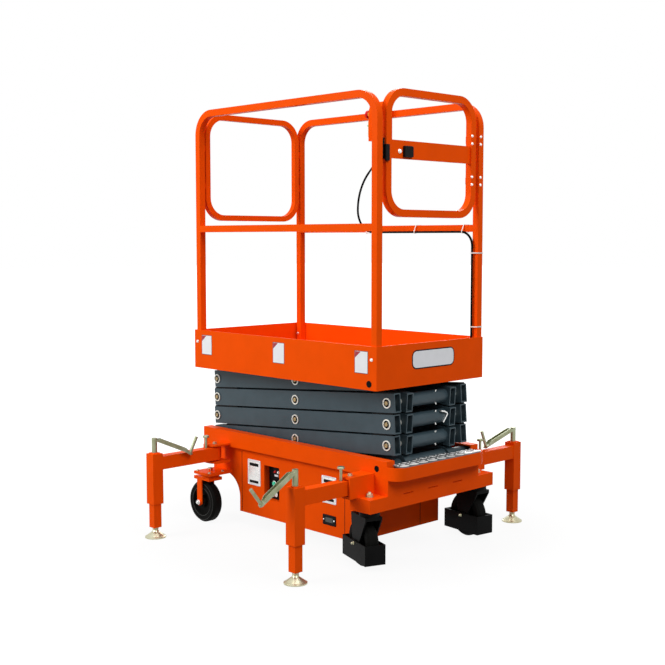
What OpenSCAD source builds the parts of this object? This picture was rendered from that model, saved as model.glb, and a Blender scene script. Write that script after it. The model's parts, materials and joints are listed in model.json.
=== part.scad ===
// Push-around scissor work platform with swing-out screw outriggers.
// Millimetres, +Z up, +X towards the gate, floor at z = 0.

/* [Platform] */
// Length of the tray outside its skirt
platform_length = 1170; // [1130:10:1210]
// Width of the tray outside its skirt
platform_width = 660; // [620:10:720]
// Height of the toe board above the deck floor
toe_board = 101; // [80:1:140]
// Depth of the skirt below the deck floor
skirt_drop = 74; // [60:1:80]
// Thickness of the tray's sheet
tray_sheet = 4; // [3:0.5:5]

/* [Guard rails] */
// Height of the top rail above the deck floor
rail_height = 1100; // [1050:10:1200]
// Height of the mid rail's centre above the deck floor
mid_rail_height = 566; // [480:1:590]
// Outside size of the square rail tube
rail_tube = 30; // [25:1:32]
// Outer radius of the hoops' top corners
rail_corner = 110; // [60:5:150]
// Height of the gate loop
gate_height = 503; // [450:1:510]
// Height of the rear loop
loop_height = 490; // [400:10:500]
// Outer corner radius of the loops
loop_corner = 105; // [60:5:150]

/* [Scissor stack] */
// Height of an arm's rectangular tube
arm_height = 78; // [70:1:79]
// Width of an arm's rectangular tube
arm_width = 38; // [34:1:40]
// Wall of an arm's tube
arm_wall = 5; // [4:0.5:6]
// Height step from one pin row to the next with the stack folded
pin_pitch = 86; // [86:0.5:90]
// Height of the lowest pin row
base_pin_z = 392; // [388:1:400]
// Diameter of the scissor pins
pin_d = 26; // [20:1:28]
// Outside diameter of the cross tubes at the pivot end
cross_tube_d = 58; // [48:1:62]

/* [Lift cylinder] */
// Outside diameter of the barrel
barrel_d = 80; // [60:1:84]
// Diameter of the rod
rod_d = 45; // [35:1:50]
// Place of the barrel's eye along the third inner arm
barrel_at = 84; // [80:1:90]

/* [Base] */
// Distance from the machine's middle plane to a base rail's outer face
base_half = 285; // [270:1:300]
// Height of a base rail
base_rail_height = 72; // [72:1:76]
// Length of the cabinet
cabinet_length = 745; // [700:5:745]
// Height of the cabinet's floor above the ground
cabinet_z = 60; // [50:5:100]

/* [Casters] */
// Diameter of the wheels
wheel_d = 190; // [180:1:196]
// Width of the wheels
wheel_width = 50; // [40:1:54]
// Distance of a front wheel's axle behind its swivel axis
front_trail = 52; // [44:1:54]
// Distance of a rear wheel's axle behind its swivel axis
caster_trail = 35; // [25:1:38]

/* [Outriggers] */
// Distance from the side of the base to a foot's centre
reach = 392; // [370:1:420]
// Height of an outrigger arm's tube
outrigger_height = 58; // [50:1:62]
// Outside size of the square sleeve
sleeve_size = 52; // [48:1:56]
// Diameter of the foot pads
pad_d = 92; // [70:1:110]
// Length of a crank's flat bar
crank_length = 195; // [150:5:205]

/* [Hidden] */
$fn = 48;

orange = [0.92, 0.29, 0.04];
arm_grey = [0.27, 0.32, 0.35];
zinc = [0.78, 0.74, 0.52];
black = [0.06, 0.06, 0.06];
silver = [0.75, 0.76, 0.77];

half_l = platform_length / 2;
half_w = platform_width / 2;

// Scissor geometry: pin columns, rise angle with the stack folded and arm planes
pivot_x = half_l - 41;
roll_x = 34.4 - half_l;
run = pivot_x - roll_x;
arm_length = norm([run, pin_pitch]);
fold = atan2(pin_pitch, run);
outer_y = base_half - 59 - arm_width / 2;
inner_y = outer_y - arm_width - 35;
end_free = 40;
end_roll = 20;
bore_gap = 0.3;
roller_d = 48;
track_gap = 0.5;

deck_z = base_pin_z + 4 * pin_pitch + 49;
skirt_bottom = deck_z - skirt_drop;
skirt_top = deck_z + toe_board;
rail_top = deck_z + rail_height;
mid_rail_z = deck_z + mid_rail_height;

// Base: heights follow the lowest pins, lengths the platform and widths the rails
sheet = 6;
rail_depth = 45;
rail_top_z = base_pin_z + 35;
rail_bottom_z = rail_top_z - base_rail_height;
base_rear = half_l - 3;
step_front = half_l + 70;
lip_top = rail_top_z - 22;
lip_bottom = rail_bottom_z - 3;
lip_corner = 55;
cabinet_rear = 240 - half_l;
cabinet_half = base_half - 23;
cabinet_top = rail_bottom_z - 12;
cross_depth = 48;

// Casters: the swivel heads carry the front beam and the rear plates
axle_z = wheel_d / 2;
fork_top_z = wheel_d + 24;
beam_z = fork_top_z + 20;
beam_height = 55;
beam_depth = 112;
beam_half = base_half + 100;
beam_front = half_l + 21;
rear_plate_z = fork_top_z + 14;
caster_front_x = half_l - 30;
caster_front_y = beam_half - 48;
caster_rear_x = 125 - half_l;
caster_rear_y = base_half + 59;
stem_d = 24;
stem_up = 26;

// Outriggers: hinges beside the rails, sleeves and legs at the feet
hinge_front_x = half_l - 91;
hinge_rear_x = 162 - half_l;
hinge_front_y = base_half + 100;
hinge_rear_y = base_half + 60;
arm_top_z = rail_top_z - 69;
sleeve_top_z = arm_top_z + 14;
sleeve_bottom_z = 150;
leg_bottom_z = 45;
leg_top_z = 265;
leg_size = sleeve_size - 14;
leg_gap = 0.3;

// The origin lies on the floor under the middle of the whole machine
middle_shift = (step_front + caster_rear_x - caster_trail - wheel_d / 2) / 2;

function pin_z(row) = base_pin_z + row * pin_pitch;

module at_middle() { translate([-middle_shift, 0, 0]) children(); }

// A block from its low corner to its high corner
module block(low, high) { translate(low) cube(high - low); }

// A round bar along Y, between two y values
module bar_y(d, x, z, y0, y1) {
    translate([x, y0, z]) rotate([-90, 0, 0]) cylinder(d = d, h = y1 - y0);
}

// Both sides of the middle plane
module both_sides() { children(); mirror([0, 1, 0]) children(); }

// A flat outline with round corners
module round_rect(w, h, r) {
    difference() {
        square([w, h], center = true);
        for (sx = [-1, 1], sy = [-1, 1]) translate([sx * w / 2, sy * h / 2]) difference() {
            square(2 * r, center = true);
            translate([-sx * r, -sy * r]) circle(r);
        }
    }
}

// A closed loop of square tube, standing in the plane of Y and Z
module tube_loop(w, h, r, t) {
    rotate([90, 0, 90]) linear_extrude(t, center = true) difference() {
        round_rect(w, h, r);
        round_rect(w - 2 * t, h - 2 * t, r - t);
    }
}

// One scissor arm: a rectangular tube from pin to pin, its low end at the origin along +X.
// An end given as a length is cut off square and open, an eye rounds it off at that radius.
module arm_tube(low_end, high_end, low_eye = 0, high_eye = 0) {
    wide = arm_width / 2;
    tall = arm_height / 2;
    neck = 55;
    from = low_eye > 0 ? neck : -low_end;
    to = arm_length + (high_eye > 0 ? -neck : high_end);
    difference() {
        block([from, -wide, -tall], [to, wide, tall]);
        block([from + (low_eye > 0 ? arm_wall : -1), -wide + arm_wall, -tall + arm_wall],
            [to - (high_eye > 0 ? arm_wall : -1), wide - arm_wall, tall - arm_wall]);
    }
    for (eye = [[0, low_eye, 1], [arm_length, high_eye, -1]]) if (eye[1] > 0) {
        bar_y(2 * eye[1], eye[0], 0, -wide, wide);
        block([min(eye[0], eye[0] + eye[2] * neck), -wide, -eye[1]],
            [max(eye[0], eye[0] + eye[2] * neck), wide, eye[1]]);
    }
}

// Places children on an inner arm of a pair: origin at its low pivot, +X up along the arm
module on_inner(pair) {
    translate([pivot_x, 0, pin_z(pair - 1)]) rotate([0, fold, 0]) mirror([1, 0, 0]) children();
}

// Places children on an outer arm of a pair: origin at its low rolling end, +X up along the arm
module on_outer(pair) {
    translate([roll_x, 0, pin_z(pair - 1)]) rotate([0, -fold, 0]) children();
}

// Two inner arms with the cross tube at their pivot end
base_eye = 39;
deck_pin_eye = 30;
module inner_arms(pair) {
    color(arm_grey) at_middle() difference() {
        on_inner(pair) {
            both_sides() translate([0, inner_y, 0])
                arm_tube(end_free, end_roll, pair == 1 ? base_eye : 0, pair == 4 ? roller_d / 2 : 0);
            bar_y(cross_tube_d, 0, 0, -inner_y + arm_width / 2, inner_y - arm_width / 2);
            if (pair == 1) rod_ears();
            if (pair == 3) bar_y(barrel_pin, barrel_at, 0, -inner_y + arm_width / 2, inner_y - arm_width / 2);
        }
        for (at = [0, arm_length / 2, arm_length]) on_inner(pair)
            both_sides() bar_y(pin_d + 2 * bore_gap, at, 0,
                inner_y - arm_width / 2 - 20, inner_y + arm_width);
    }
}

// Ears that take the rod's eye, on a carrier tube between the lowest inner arms
barrel_pin = 36;
rod_at = arm_length - 123;
ear_tube_back = 95;
ear_tube_down = 32;
ear_thick = 12;
ear_inside = 38;
module rod_ears() {
    bar_y(32, rod_at - ear_tube_back, -ear_tube_down, -inner_y + arm_width / 2, inner_y - arm_width / 2);
    both_sides() translate([0, ear_inside, 0]) {
        bar_y(60, rod_at, 0, 0, ear_thick);
        translate([rod_at, 0, 0]) rotate([0, 180 - atan2(ear_tube_down, ear_tube_back), 0])
            translate([0, 0, -22]) cube([norm([ear_tube_back, ear_tube_down]), ear_thick, 44]);
        bar_y(26, rod_at, 0, -3, 0);
    }
}

// Two outer arms with the shaft at their rolling end
module outer_arms(pair) {
    shaft_end = outer_y + arm_width / 2;
    color(arm_grey) at_middle() on_outer(pair) difference() {
        union() {
            both_sides() translate([0, outer_y, 0])
                arm_tube(end_roll, end_free, pair == 1 ? base_eye : 0, pair == 4 ? deck_pin_eye : 0);
            bar_y(pin_d, 0, 0, -shaft_end, shaft_end);
        }
        for (at = [arm_length / 2, arm_length]) both_sides()
            bar_y(pin_d + (pair == 4 && at == arm_length ? 2 * bore_gap : 0.2), at, 0,
                outer_y - arm_width, outer_y + arm_width);
    }
}

// Pins of a pair: stubs at the crossing and pins at the pivot end, each ending in a ring on the outside
module pin_ring(at) {
    head = outer_y + arm_width / 2;
    difference() {
        bar_y(42, at, 0, head, head + 4);
        bar_y(32, at, 0, head - 1, head + 5);
    }
    bar_y(pin_d - 4, at, 0, head, head + 5);
}

module pins(pair) {
    head = outer_y + arm_width / 2;
    tip = inner_y - arm_width / 2 + 2;
    color(zinc) at_middle() on_outer(pair) both_sides() {
        for (at = pair == 4 ? [arm_length / 2] : [arm_length / 2, arm_length]) {
            bar_y(pin_d, at, 0, tip, head);
            pin_ring(at);
        }
        if (pair > 1) pin_ring(0);
    }
}

// Rollers of the lowest outer arms, running in the base rails
module base_rollers() {
    head = outer_y + arm_width / 2;
    color(zinc) at_middle() both_sides() {
        bar_y(30, roll_x, base_pin_z, head, head + 10);
        bar_y(roller_d, roll_x, base_pin_z, head + 10, base_half - sheet - 6);
    }
}

// Rollers of the top inner arms, running under the deck
module deck_rollers() {
    top = pin_z(4);
    side = inner_y + arm_width / 2;
    color(zinc) at_middle() both_sides() {
        bar_y(pin_d, roll_x, top, side - arm_width - 6, side + 6);
        bar_y(roller_d, roll_x, top, side + 6, side + 28);
    }
}

// Fixed pins of the lowest inner arms, welded to the base rails
module base_pins() {
    color(zinc) at_middle() both_sides() {
        bar_y(pin_d, pivot_x, base_pin_z, inner_y - arm_width / 2 + 2, inner_y + arm_width / 2 + 6);
        bar_y(roller_d, pivot_x, base_pin_z, inner_y + arm_width / 2 + 6, base_half - sheet);
        bar_y(pin_d, pivot_x, base_pin_z, base_half - sheet, base_half - 1);
    }
}

// Ends and angle of the folded lift cylinder: its barrel hangs on the third pair, its rod on the first
barrel_x = pivot_x - barrel_at * cos(fold);
barrel_z = pin_z(2) + barrel_at * sin(fold);
eye_x = pivot_x - rod_at * cos(fold);
eye_z = base_pin_z + rod_at * sin(fold);
cyl_rise = atan2(barrel_z - eye_z, barrel_x - eye_x);
cyl_length = norm([eye_x - barrel_x, eye_z - barrel_z]);
barrel_length = 610;
barrel_eye = 70;
gland = 30;

// Origin on the barrel's pin, +X along the rod
module on_cylinder() { translate([barrel_x, 0, barrel_z]) rotate([0, 180 - cyl_rise, 0]) children(); }

// A shape turned about the cylinder's length, from its outline of radius and length
module turned_x(outline) { rotate([0, 90, 0]) rotate_extrude() polygon(outline); }

module lift_barrel() {
    outside = barrel_d / 2;
    bore = rod_d / 2 + 6;
    fit = rod_d / 2 + bore_gap;
    color(black) at_middle() on_cylinder() difference() {
        union() {
            bar_y(barrel_eye, 0, 0, -30, 30);
            turned_x([[0, 24], [outside - 6, 24], [outside, 34], [outside, barrel_length],
                [outside + 4, barrel_length + 3], [outside + 4, barrel_length + gland - 6],
                [outside - 4, barrel_length + gland], [0, barrel_length + gland]]);
            translate([90, 0, -outside - 10]) cylinder(d = 22, h = 30);
        }
        bar_y(barrel_pin + 2 * bore_gap, 0, 0, -40, 40);
        turned_x([[0, 60], [bore, 60], [bore, barrel_length], [fit, barrel_length],
            [fit, barrel_length + gland + 1], [0, barrel_length + gland + 1]]);
    }
}

module lift_rod() {
    rod_start = 260;
    piston = rod_d / 2 + 5.5;
    color(silver) at_middle() on_cylinder() {
        turned_x([[0, rod_start], [piston, rod_start], [piston, rod_start + 40], [rod_d / 2, rod_start + 40],
            [rod_d / 2, cyl_length - 40], [rod_d / 2 - 3, cyl_length - 20], [0, cyl_length - 20]]);
        difference() {
            bar_y(56, cyl_length, 0, -28, 28);
            bar_y(27, cyl_length, 0, -40, 40);
        }
    }
}

// Tray with its skirt, deck floor, return flanges, ribs, pivot lugs and roller tracks
module platform_tray() {
    lug = 12;
    flange = 21;
    rib = 24;
    inside_l = half_l - tray_sheet;
    inside_w = half_w - tray_sheet;
    under = deck_z - tray_sheet;
    color(orange) at_middle() {
        difference() {
            block([-half_l, -half_w, skirt_bottom], [half_l, half_w, skirt_top]);
            block([-inside_l, -inside_w, deck_z], [inside_l, inside_w, skirt_top + 1]);
            block([-inside_l, -inside_w + flange, skirt_bottom - 1],
                [inside_l, inside_w - flange, skirt_bottom + 10]);
            block([-inside_l, -inside_w, skirt_bottom + tray_sheet], [inside_l, inside_w, under]);
            both_sides() bar_y(20, pivot_x, pin_z(4), half_w - 10, half_w + 10);
        }
        for (x = [0, 240]) block([x - 3, -inside_w, under - rib], [x + 3, inside_w, under]);
        both_sides() {
            for (y = [outer_y - arm_width / 2 - 5 - lug, outer_y + arm_width / 2 + 5]) {
                block([pivot_x - 28, y, pin_z(4)], [pivot_x + 28, y + lug, under]);
                bar_y(56, pivot_x, pin_z(4), y, y + lug);
            }
            bar_y(pin_d, pivot_x, pin_z(4), outer_y - arm_width / 2 - 6, outer_y + arm_width / 2 + 6);
            block([roll_x - 18, inner_y + arm_width / 2 + 4, pin_z(4) + roller_d / 2 + track_gap],
                [roll_x + 480, inner_y + arm_width / 2 + 30, under]);
        }
    }
}

// Side hoop: two posts, a top rail with round corners and a mid rail
hoop_rear = 14 - half_l;
hoop_front = half_l - tray_sheet;
module side_hoop() {
    length = hoop_front - hoop_rear;
    height = rail_top - deck_z;
    t = rail_tube;
    translate([hoop_rear, -half_w + tray_sheet + t, deck_z]) rotate([90, 0, 0]) linear_extrude(t)
        difference() {
            hoop_outline(length, height, rail_corner);
            translate([t, -1]) hoop_outline(length - 2 * t, height - t + 1, rail_corner - t);
        }
    block([hoop_rear + t, -half_w + tray_sheet, mid_rail_z - t / 2],
        [hoop_front - t, -half_w + tray_sheet + t, mid_rail_z + t / 2]);
}

module hoop_outline(w, h, r) {
    difference() {
        square([w, h]);
        for (side = [0, 1]) translate([side * w, h]) difference() {
            square(2 * r, center = true);
            translate([side == 0 ? r : -r, -r]) circle(r);
        }
    }
}

module guard_rail_r() { color(orange) at_middle() side_hoop(); }
module guard_rail_l() { color(orange) at_middle() mirror([0, 1, 0]) side_hoop(); }

// Rear loop bolted between the rear posts
loop_z = rail_top - loop_height / 2 - 5;
post_inside = half_w - tray_sheet - rail_tube;
module rear_panel() {
    color(orange) at_middle() {
        translate([hoop_rear + rail_tube / 2, 0, loop_z])
            tube_loop(2 * post_inside - 16, loop_height, loop_corner, rail_tube - 4);
        both_sides() for (dz = [-85, 85])
            block([hoop_rear + rail_tube / 2 - 8, post_inside - 8, loop_z + dz - 14],
                [hoop_rear + rail_tube / 2 + 8, post_inside, loop_z + dz + 14]);
    }
}

// Gate loop with its wide cross bar, hinged on the far post
gate_side = 21;
gate_x = hoop_front - rail_tube / 2;
knuckle_x = hoop_front - rail_tube - 8;
knuckle_y = post_inside - 10;
gate_z = rail_top + 10 - gate_height / 2;
gate_bar_z = loop_z + 22;
hinge_rows = [loop_z - 85, loop_z + 85];
module gate_frame() {
    gate_w = 2 * (post_inside - gate_side);
    color(orange) at_middle() {
        translate([gate_x, 0, gate_z]) tube_loop(gate_w, gate_height, loop_corner, rail_tube);
        block([gate_x - 6, -gate_w / 2 + rail_tube, gate_bar_z - 36],
            [gate_x + 6, gate_w / 2 - rail_tube, gate_bar_z + 36]);
        for (z = hinge_rows) difference() {
            union() {
                block([gate_x - rail_tube / 2 - 4, knuckle_y - 38, z - 14],
                    [gate_x - rail_tube / 2, knuckle_y - 6, z + 14]);
                translate([knuckle_x, knuckle_y, z - 14]) cylinder(d = 15, h = 28);
                block([knuckle_x, knuckle_y - 16, z - 14],
                    [gate_x - rail_tube / 2, knuckle_y - 4, z + 14]);
            }
            translate([knuckle_x, knuckle_y, z - 20]) cylinder(d = 8.6, h = 40);
        }
    }
}

// Hinge pins and leaves on the far post, latch on the near post
module gate_hinges() {
    color(black) at_middle() {
        for (z = hinge_rows) {
            translate([knuckle_x, knuckle_y, z - 27]) cylinder(d = 8, h = 54);
            for (dz = [-27, 15]) {
                translate([knuckle_x, knuckle_y, z + dz]) cylinder(d = 15, h = 12);
                block([knuckle_x, knuckle_y, z + dz],
                    [gate_x - rail_tube / 2, knuckle_y + 26, z + dz + 12]);
            }
        }
        block([gate_x - 12, -post_inside, gate_bar_z - 40],
            [gate_x + 12, -post_inside + 14, gate_bar_z + 40]);
    }
}

// Control box hung on the far top rail: a folded case with a sloped face and a hook over the rail
box_top = rail_top + 39;
box_bottom = rail_top - 135;
box_x = [-11, 79];
box_deep = 62;
module control_box() {
    tall = box_top - box_bottom;
    case = [[0, 0], [box_deep, 0], [box_deep, tall - 12], [box_deep - 12, tall], [14, tall], [0, tall - 40]];
    color(orange) at_middle() {
        translate([box_x[0], post_inside - box_deep, box_bottom]) rotate([90, 0, 90])
            linear_extrude(box_x[1] - box_x[0]) polygon(case);
        block([box_x[0] + 20, post_inside - 20, rail_top],
            [box_x[1] - 20, post_inside + rail_tube, rail_top + 4]);
    }
}

// Cable from the control box: it swings out in a loop, runs along the far mid rail and down the far post.
// Straight runs reach a little into the bends between them.
cable_d = 9;
cable_join = 2;
module cable_run(length) {
    translate([0, 0, -cable_join]) cylinder(d = cable_d, h = length + 2 * cable_join, $fn = 96);
}
module cable_bend_of(r, turn) {
    rotate_extrude(angle = turn, $fn = 144) translate([r, 0]) circle(d = cable_d + 0.6, $fn = 96);
}
module control_cable() {
    y = post_inside - cable_d;
    lean = 45;
    tight = 60;
    wide = 240;
    under = 105;
    run_z = mid_rail_z - rail_tube / 2;
    from_x = box_x[0] + 31;
    post_x = hoop_front - rail_tube + 5;
    // centres of the wide bend and of the turn below it, end of the lean and end of the first bend
    low = [from_x - tight * (1 - cos(lean)) - 63 + wide * cos(lean) - wide + under, run_z + under];
    side = [low.x - under + wide, low.y];
    mid = [side.x - wide * cos(lean), side.y + wide * sin(lean)];
    top = [from_x - tight * (1 - cos(lean)), mid.y + 63];
    drop_z = top.y + tight * sin(lean);
    color(black) at_middle() translate([0, y, 0]) {
        translate([from_x, 0, drop_z]) cable_run(box_bottom - drop_z - cable_join);
        translate([from_x - tight, 0, drop_z]) rotate([90, 0, 0]) rotate(-lean) cable_bend_of(tight, lean);
        translate([mid.x, 0, mid.y]) rotate([0, lean, 0]) cable_run(norm(top - mid));
        translate([side.x, 0, side.y]) rotate([90, 0, 0]) rotate(180 - lean) cable_bend_of(wide, lean);
        translate([low.x, 0, low.y]) rotate([90, 0, 0]) rotate(180) cable_bend_of(under, 90);
        translate([low.x, 0, run_z]) rotate([0, 90, 0]) cable_run(post_x - tight - low.x);
        translate([post_x - tight, 0, run_z - tight]) rotate([90, 0, 0]) cable_bend_of(tight, 90);
        translate([post_x, 0, deck_z + cable_join]) cable_run(run_z - tight - deck_z - cable_join);
    }
}

// Side rails: channels that open inwards, their lower flange the rollers' track
module base_rails() {
    front = step_front - lip_corner;
    color(orange) at_middle() both_sides() {
        difference() {
            block([-base_rear, base_half - rail_depth, rail_bottom_z], [front, base_half, rail_top_z]);
            block([-base_rear - 1, base_half - rail_depth - 1, base_pin_z - roller_d / 2 - track_gap],
                [front - sheet, base_half - sheet, rail_top_z - sheet]);
            bar_y(pin_d, pivot_x, base_pin_z, base_half - 20, base_half + 10);
        }
        block([cabinet_rear, base_half - rail_depth, cabinet_top],
            [cabinet_rear + cabinet_length, cabinet_half, rail_bottom_z]);
    }
}

// Front frame: caster beam open underneath, fascia with slots along its bend, and the raised lip of the step
slot_ys = [-165, -12, 145];
module front_frame() {
    back = beam_front - beam_depth;
    beam_top = beam_z + beam_height;
    end_block = 96;
    color(orange) at_middle() {
        translate([0, 0, lip_bottom]) linear_extrude(sheet) lip_outline(0);
        translate([0, 0, lip_bottom]) linear_extrude(lip_top - lip_bottom) difference() {
            lip_outline(0);
            lip_outline(sheet);
        }
        block([beam_front - sheet, -base_half, beam_top], [beam_front, base_half, lip_bottom]);
        both_sides()
            block([back, base_half - sheet, beam_top], [beam_front - sheet, base_half, rail_bottom_z]);
        difference() {
            block([back, -beam_half, beam_z], [beam_front, beam_half, beam_top]);
            block([back + sheet, -beam_half + end_block, beam_z - 1],
                [beam_front - sheet, beam_half - end_block, beam_top - sheet]);
            both_sides() translate([caster_front_x, caster_front_y, beam_z - 1])
                cylinder(d = stem_d + 2 * bore_gap, h = stem_up + 2);
            for (y = slot_ys) block([beam_front - sheet - 1, y - 30, beam_top - 5],
                [beam_front + 1, y + 30, beam_top - 1]);
            both_sides() translate([hinge_front_x, 0, hinge_low - plate])
                linear_extrude(beam_top) hinge_outline(hinge_front_y, 1);
        }
    }
}

// Rear frame: cross member under the rails, wheel arches and caster plates
module rear_frame() {
    front = -base_rear + rail_depth;
    color(orange) at_middle() {
        difference() {
            block([-base_rear, -base_half, cabinet_top - cross_depth], [front, base_half, cabinet_top]);
            block([-base_rear + sheet, -base_half - 1, cabinet_top - cross_depth - 1],
                [front - sheet, base_half + 1, cabinet_top - sheet]);
        }
        both_sides() {
            block([-base_rear, base_half - rail_depth + 5, cabinet_top], [front, base_half, rail_bottom_z]);
            rear_caster_arm();
        }
    }
}

// Outrigger brackets, one at each corner
module outrigger_brackets() {
    color(orange) at_middle() both_sides() {
        hinge_plates(hinge_front_x, hinge_front_y, 1);
        hinge_plates(hinge_rear_x, hinge_rear_y, -1);
    }
}

// Outline of the front step in plan, inset by a wall
module lip_outline(wall) {
    back = step_front - lip_corner;
    intersection() {
        translate([step_front - 150, 0])
            round_rect(2 * (150 - wall), 2 * (base_half - wall), lip_corner - wall);
        translate([back, -base_half]) square([lip_corner, 2 * base_half]);
    }
}

// Bracket of an outrigger: two rounded plates and a pin, with a web on the side it doesn't swing to
plate = 8;
bracket_half = 37;
hinge_gap = 6;
hinge_low = arm_top_z - outrigger_height - hinge_gap;
module hinge_outline(y, web_side) {
    translate([-bracket_half, base_half]) square([2 * bracket_half, y - base_half]);
    translate([0, y]) circle(bracket_half);
    translate([web_side > 0 ? 0 : -bracket_half, y - 1]) square([bracket_half, bracket_half + 1]);
}
module hinge_plates(x, y, web_side) {
    high = arm_top_z + hinge_gap;
    translate([x, 0, 0]) {
        for (z = [hinge_low - plate, high])
            translate([0, 0, z]) linear_extrude(plate) hinge_outline(y, web_side);
        block([web_side > 0 ? bracket_half - plate : -bracket_half, base_half, hinge_low],
            [web_side > 0 ? bracket_half : plate - bracket_half, y + bracket_half, high]);
        translate([0, y, hinge_low]) cylinder(d = 20, h = high - hinge_low);
    }
}

// Side plate with a wheel arch, and the top plate of a rear caster
arch_r = 105;
arch_x = 135 - half_l;
module rear_caster_arm() {
    inside = cabinet_half - sheet;
    difference() {
        block([-base_rear + rail_depth, inside, rear_plate_z - arch_r],
            [cabinet_rear, cabinet_half, rail_bottom_z]);
        block([-base_rear, inside - 1, rear_plate_z - arch_r - 1], [arch_x, cabinet_half + 1, rear_plate_z]);
        bar_y(2 * arch_r, arch_x, rear_plate_z - arch_r, inside - 1, cabinet_half + 1);
    }
    difference() {
        block([caster_rear_x - 58, cabinet_half, rear_plate_z],
            [caster_rear_x + 58, caster_rear_y + 50, rear_plate_z + 12]);
        translate([caster_rear_x, caster_rear_y, rear_plate_z - 1])
            cylinder(d = stem_d + 2 * bore_gap, h = 20);
    }
}

// Tread plate on the front step, with its corners rounded to follow the lip
module step_plate() {
    deep = lip_corner - 1;
    color(silver) at_middle() translate([step_front - deep / 2, 0, lip_top]) linear_extrude(4)
        round_rect(deep, 2 * (base_half - 30), 25);
}

// Cabinet under the base: a box open at both sides, each side closed by a door
panel_x = [-173, -72];
panel_z = [145, 298];
recess = 30;
wall = 4;
seam = 2;
cabinet_front = cabinet_rear + cabinet_length;
module cabinet() {
    side = cabinet_half - wall;
    color(orange) at_middle() difference() {
        block([cabinet_rear, -side, cabinet_z], [cabinet_front, side, cabinet_top]);
        block([cabinet_rear + wall, -side - 1, cabinet_z + wall],
            [cabinet_front - wall, side + 1, cabinet_top - wall]);
        for (y = [121 - cabinet_half, cabinet_half - 121])
            block([cabinet_front - seam, y - seam / 2, cabinet_z + 1],
                [cabinet_front + 1, y + seam / 2, cabinet_top - 1]);
    }
}

// Door of the cabinet with its seams
module cabinet_door() {
    difference() {
        block([cabinet_rear, cabinet_half - wall, cabinet_z], [cabinet_front, cabinet_half, cabinet_top]);
        for (x = [cabinet_rear + 16, cabinet_front - 60]) translate([x, cabinet_half, 0])
            block([-seam / 2, -seam, cabinet_z + 1], [seam / 2, seam, cabinet_top - 1]);
    }
}

// Right door with a window for the controls
module cabinet_door_r() {
    color(orange) at_middle() difference() {
        mirror([0, 1, 0]) cabinet_door();
        block([panel_x[0], -cabinet_half - 1, panel_z[0]], [panel_x[1], wall + 1 - cabinet_half, panel_z[1]]);
    }
}

// Left door with vent slots
module cabinet_door_l() {
    color(orange) at_middle() difference() {
        cabinet_door();
        for (i = [0:4]) translate([cabinet_front - 200 + 14 * i, cabinet_half, cabinet_z + 90])
            block([0, -wall - 1, 0], [5, 1, 80]);
    }
}

// Walls of the recess behind the cabinet's window
module panel_housing() {
    color(orange) at_middle() difference() {
        block([panel_x[0] - wall, wall - cabinet_half, panel_z[0] - wall],
            [panel_x[1] + wall, recess - cabinet_half, panel_z[1] + wall]);
        block([panel_x[0], -cabinet_half, panel_z[0]], [panel_x[1], recess - cabinet_half + 1, panel_z[1]]);
    }
}

// Control panel at the back of the recess: switch block, push button and key switch
module control_panel() {
    back = recess - cabinet_half;
    color(black) at_middle() {
        block([panel_x[0] - 4, back, panel_z[0] - 4], [panel_x[1] + 4, back + 6, panel_z[1] + 4]);
        block([panel_x[1] - 56, back - 14, panel_z[1] - 50], [panel_x[1] - 8, back, panel_z[1] - 8]);
        for (knob = [[50, 75, 26, 14], [34, 28, 22, 18]])
            translate([panel_x[1] - knob[0], back, panel_z[0] + knob[1]])
            rotate([90, 0, 0]) cylinder(d = knob[2], h = knob[3]);
    }
}

// Batteries, oil tank and pump motor on the cabinet's floor
module power_pack() {
    floor_z = cabinet_z + 4;
    front = cabinet_front;
    outside = cabinet_half - recess - 32;
    color(black) at_middle() {
        both_sides() block([front - 510, 10, floor_z], [front - 250, outside, floor_z + 180]);
        block([front - 220, 40 - outside, floor_z], [front - 110, outside - 40, floor_z + 120]);
        translate([front - 165, 0, floor_z + 120]) cylinder(d = 90, h = 60);
    }
}

// Caster rest angles and places: x, y, turn and trail
caster_front_r = [caster_front_x, -caster_front_y, -20, front_trail];
caster_front_l = [caster_front_x, caster_front_y, -8, front_trail];
caster_rear_r = [caster_rear_x, -caster_rear_y, 0, caster_trail];
caster_rear_l = [caster_rear_x, caster_rear_y, 0, caster_trail];

module at_caster(c) { at_middle() translate([c.x, c.y, 0]) rotate(c.z) children(); }

fork_inside = wheel_width / 2 + 6;
fork_leg = 6;

// Fork: swivel head with its stem, crown, two legs with a round end and the axle.
// top is the underside it turns on, a leg narrows from its half width at the crown to its eye.
module fork(trail, top, leg_front, leg_back, eye) {
    crown = fork_top_z - 14;
    leg = [[-leg_back, crown], [leg_front, crown],
           [-trail + eye / 2, axle_z], [-trail - eye / 2, axle_z]];
    translate([0, 0, fork_top_z]) cylinder(d = 84, h = top - fork_top_z - bore_gap);
    translate([0, 0, top - bore_gap]) cylinder(d = stem_d, h = stem_up);
    block([-trail - 40, -fork_inside - fork_leg, crown], [40, fork_inside + fork_leg, fork_top_z]);
    both_sides() {
        translate([0, fork_inside + fork_leg, 0]) rotate([90, 0, 0]) linear_extrude(fork_leg) polygon(leg);
        bar_y(eye, -trail, axle_z, fork_inside, fork_inside + fork_leg);
        bar_y(26, -trail, axle_z, fork_inside + fork_leg, fork_inside + fork_leg + 6);
    }
    bar_y(16, -trail, axle_z, -fork_inside - 2, fork_inside + 2);
}

// Foot guard around the lower half of a front wheel
guard_half = 106;
guard_z = [25, 105];
module guard(trail) {
    outside = fork_inside + fork_leg + 8;
    translate([-trail, 0, 0]) difference() {
        block([-guard_half, -outside, guard_z[0]], [guard_half, outside, guard_z[1]]);
        block([-guard_half + 5, -outside + 5, guard_z[0] - 1], [guard_half - 5, outside - 5, guard_z[1] + 1]);
    }
    both_sides() for (x = [-24, 14]) block([-trail + x, fork_inside + fork_leg, guard_z[0] + 22],
        [-trail + x + 10, outside - 5, guard_z[1]]);
}

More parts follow.
